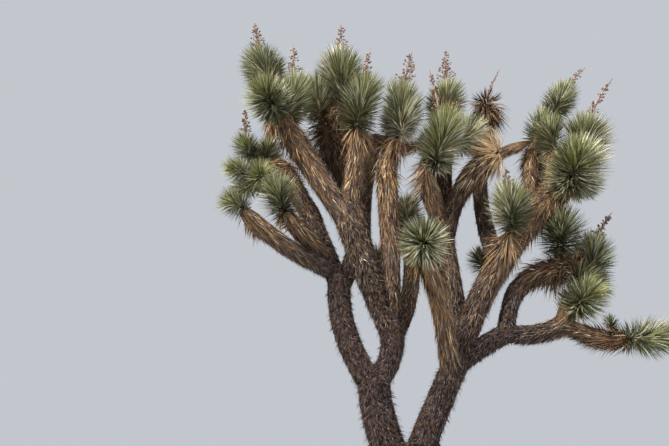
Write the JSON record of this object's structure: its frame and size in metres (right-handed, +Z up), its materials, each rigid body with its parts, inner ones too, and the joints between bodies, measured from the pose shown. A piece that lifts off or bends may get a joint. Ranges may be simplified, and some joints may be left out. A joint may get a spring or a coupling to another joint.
{
  "type": "joshua tree",
  "caption": "Joshua tree with a flared trunk, forked crooked boughs clothed in dead leaves, and spiky leaf rosettes with dried flower stalks.",
  "frame": {"origin": "middle of the flat cut under the trunk at ground level", "axes": "+Z up; +X towards the longest low bough, at the right of the picture; -Y towards the camera of the picture"},
  "size_m": [4.3397, 2.4471, 6.4],
  "materials": {
    "bark": "rough grey-brown bark with stubs of old leaves",
    "thatched_bough": "shaggy orange-brown dead leaves laid down the bough",
    "foliage": "stiff olive-green dagger leaves",
    "dead_foliage": "dry grey-brown drooping leaves"
  },
  "bodies": {
    "root": {"trunk": "bark", "stem_left": "bark", "bough_left": "bark", "bough_left_upper": "thatched_bough", "arm_left_low": "thatched_bough", "arm_left": "thatched_bough", "bough_middle": "bark", "bough_middle_left": "thatched_bough", "bough_crown_left": "thatched_bough", "bough_crown_front": "thatched_bough", "bough_centre": "thatched_bough", "bough_crown_back": "thatched_bough", "bough_behind": "thatched_bough", "stem_right": "bark", "arm_front": "thatched_bough", "bough_right": "thatched_bough", "bough_inner": "thatched_bough", "bough_inner_front": "thatched_bough", "bough_dry": "thatched_bough", "bough_inner_back": "thatched_bough", "bough_dead": "thatched_bough", "bough_right_upper": "thatched_bough", "bough_low": "bark", "arm_low_riser": "thatched_bough", "arm_low_upper": "thatched_bough", "arm_low_outer": "thatched_bough", "arm_low_twig": "thatched_bough", "arm_low_reach": "thatched_bough", "bough_back_left": "thatched_bough", "bough_back_middle": "thatched_bough", "bough_back_right": "thatched_bough", "rosette_crown_left": "foliage", "rosette_crown_left_front": "foliage", "rosette_crown_left_side": "foliage", "rosette_left_top": "foliage", "rosette_left_front": "foliage", "rosette_left_arm": "foliage", "rosette_left_low": "foliage", "rosette_crown_back": "foliage", "rosette_crown_front": "foliage", "rosette_centre": "foliage", "rosette_inner_back": "foliage", "rosette_inner_front": "foliage", "head_dead": "dead_foliage", "rosette_front": "foliage", "rosette_behind": "foliage", "rosette_right_inner": "foliage", "rosette_right_shade": "foliage", "rosette_right_column": "foliage", "rosette_right_middle": "foliage", "rosette_right_outer": "foliage", "rosette_right_front": "foliage", "rosette_low_upper": "foliage", "rosette_low_pair": "foliage", "rosette_low_middle": "foliage", "rosette_low_outer": "foliage", "rosette_low_shoot": "foliage", "rosette_back_left": "foliage", "rosette_back_middle": "foliage", "rosette_back_right": "foliage"}
  },
  "joints": []
}
